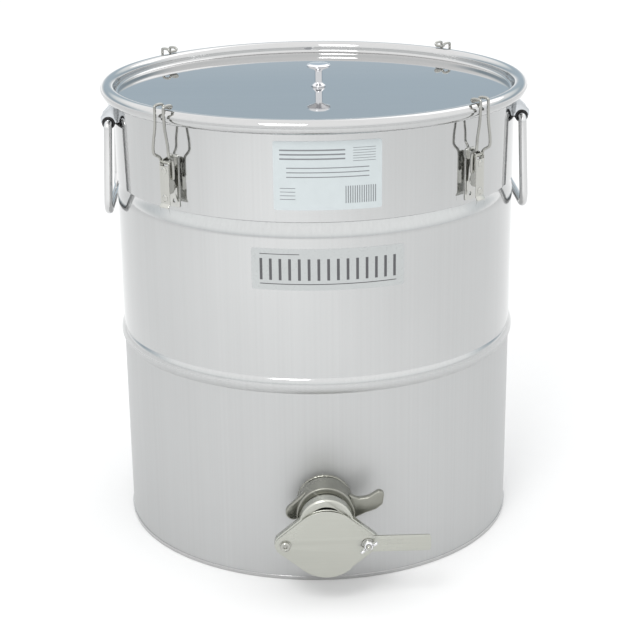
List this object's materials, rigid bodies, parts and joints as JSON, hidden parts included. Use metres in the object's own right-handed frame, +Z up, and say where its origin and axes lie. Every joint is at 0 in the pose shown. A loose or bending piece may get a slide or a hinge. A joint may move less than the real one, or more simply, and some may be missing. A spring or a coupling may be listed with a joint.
{
  "type": "honey settling tank with gate valve",
  "caption": "Round stainless tank with a recessed clamped lid, toggle latches, drop handles and a swinging blade gate valve near its base.",
  "frame": {"origin": "centre of the base ring, on the floor", "axes": "+Z up along the drum's axis, -Y towards the gate valve, +X to the right seen from the gate"},
  "size_m": [0.4249, 0.48, 0.4695],
  "materials": {
    "drum_steel": "bright cold-rolled stainless sheet",
    "lid_steel": "mirror-bright stainless sheet",
    "knob_chrome": "polished",
    "latch_steel": "satin pressed stainless",
    "wire_steel": "bright drawn wire",
    "hood_steel": "satin pressed stainless",
    "handle_steel": "bright rod",
    "bushing_plastic": "moulded black",
    "gate_steel": "satin cast stainless",
    "nut_steel": "dark cast stainless",
    "silicone": "food-grade silicone",
    "label_film": "printed film",
    "fastener_steel": "machined"
  },
  "bodies": {
    "tank": {"drum_shell": "drum_steel", "drum_bottom": "drum_steel", "outlet_spigot": "drum_steel", "valve_gasket": "silicone", "valve_body": "gate_steel", "blade_washer": "fastener_steel", "pivot_screw": "fastener_steel", "clamp_stud": "fastener_steel", "clamp_washer": "fastener_steel", "latch_plate_fl": "latch_steel", "latch_plate_fr": "latch_steel", "latch_plate_bl": "latch_steel", "latch_plate_br": "latch_steel", "latch_pin_fl": "wire_steel", "latch_pin_fr": "wire_steel", "latch_pin_bl": "wire_steel", "latch_pin_br": "wire_steel", "handle_hood_lf": "hood_steel", "handle_hood_lb": "hood_steel", "handle_hood_rf": "hood_steel", "handle_hood_rb": "hood_steel", "handle_bushing_lf": "bushing_plastic", "handle_bushing_lb": "bushing_plastic", "handle_bushing_rf": "bushing_plastic", "handle_bushing_rb": "bushing_plastic", "front_label": "label_film", "data_label": "label_film"},
    "lid": {"lid_panel": "lid_steel", "lid_gasket": "silicone", "lid_knob": "knob_chrome", "knob_washer": "fastener_steel", "knob_screw": "fastener_steel"},
    "lever_fl": {"latch_lever_fl": "latch_steel"},
    "bail_fl": {"latch_bail_fl": "wire_steel"},
    "lever_fr": {"latch_lever_fr": "latch_steel"},
    "bail_fr": {"latch_bail_fr": "wire_steel"},
    "lever_bl": {"latch_lever_bl": "latch_steel"},
    "bail_bl": {"latch_bail_bl": "wire_steel"},
    "lever_br": {"latch_lever_br": "latch_steel"},
    "bail_br": {"latch_bail_br": "wire_steel"},
    "handle_left": {"handle_bail_left": "handle_steel"},
    "handle_right": {"handle_bail_right": "handle_steel"},
    "blade": {"valve_blade": "gate_steel"},
    "wing_nut": {"wing_nut": "fastener_steel"},
    "ring_nut": {"ring_nut": "nut_steel"}
  },
  "joints": [
    {"name": "lid_lift", "type": "slide", "parent": "tank", "child": "lid", "axis": [0, 0, 1], "range_m": [0, 0.025]},
    {"name": "latch_lever_fl", "type": "hinge", "parent": "tank", "child": "lever_fl", "pos_m": [-0.14072, -0.1552, 0.409], "axis": [-0.7408, 0.6717, 0], "range_deg": [0, 150]},
    {"name": "latch_bail_fl", "type": "hinge", "parent": "lever_fl", "child": "bail_fl", "pos_m": [-0.13972, -0.15409, 0.394], "axis": [0.7408, -0.6717, 0], "range_deg": [0, 322]},
    {"name": "latch_lever_fr", "type": "hinge", "parent": "tank", "child": "lever_fr", "pos_m": [0.1471, -0.14917, 0.409], "axis": [-0.712, -0.7022, 0], "range_deg": [0, 150]},
    {"name": "latch_bail_fr", "type": "hinge", "parent": "lever_fr", "child": "bail_fr", "pos_m": [0.14605, -0.1481, 0.394], "axis": [0.712, 0.7022, 0], "range_deg": [0, 322]},
    {"name": "latch_lever_bl", "type": "hinge", "parent": "tank", "child": "lever_bl", "pos_m": [-0.15096, 0.14527, 0.409], "axis": [0.6934, 0.7206, 0], "range_deg": [0, 150]},
    {"name": "latch_bail_bl", "type": "hinge", "parent": "lever_bl", "child": "bail_bl", "pos_m": [-0.14988, 0.14423, 0.394], "axis": [-0.6934, -0.7206, 0], "range_deg": [0, 322]},
    {"name": "latch_lever_br", "type": "hinge", "parent": "tank", "child": "lever_br", "pos_m": [0.14474, 0.15146, 0.409], "axis": [0.723, -0.6909, 0], "range_deg": [0, 150]},
    {"name": "latch_bail_br", "type": "hinge", "parent": "lever_br", "child": "bail_br", "pos_m": [0.1437, 0.15038, 0.394], "axis": [-0.723, 0.6909, 0], "range_deg": [0, 322]},
    {"name": "handle_left_swing", "type": "hinge", "parent": "tank", "child": "handle_left", "pos_m": [-0.2016, 0, 0.424], "axis": [0, 1, 0], "range_deg": [0, 150]},
    {"name": "handle_right_swing", "type": "hinge", "parent": "tank", "child": "handle_right", "pos_m": [0.2016, 0, 0.424], "axis": [0, -1, 0], "range_deg": [0, 150]},
    {"name": "blade_swing", "type": "hinge", "parent": "tank", "child": "blade", "pos_m": [-0.0386, -0.25575, 0.0668], "axis": [0, -1, 0], "range_deg": [0, 65]},
    {"name": "wing_nut_turn", "type": "hinge", "parent": "tank", "child": "wing_nut", "pos_m": [0.0386, -0.262, 0.0668], "axis": [0, -1, 0], "continuous": true},
    {"name": "ring_nut_turn", "type": "hinge", "parent": "tank", "child": "ring_nut", "pos_m": [0, -0.22, 0.086], "axis": [0, -1, 0], "continuous": true}
  ],
  "couplings": [
    {"joint": "latch_lever_fl", "follows": "lid_lift", "rad_per_m": 104.7},
    {"joint": "latch_bail_fl", "follows": "lid_lift", "rad_per_m": 224.77},
    {"joint": "latch_lever_fr", "follows": "lid_lift", "rad_per_m": 104.7},
    {"joint": "latch_bail_fr", "follows": "lid_lift", "rad_per_m": 224.77},
    {"joint": "latch_lever_bl", "follows": "lid_lift", "rad_per_m": 104.7},
    {"joint": "latch_bail_bl", "follows": "lid_lift", "rad_per_m": 224.77},
    {"joint": "latch_lever_br", "follows": "lid_lift", "rad_per_m": 104.7},
    {"joint": "latch_bail_br", "follows": "lid_lift", "rad_per_m": 224.77}
  ]
}
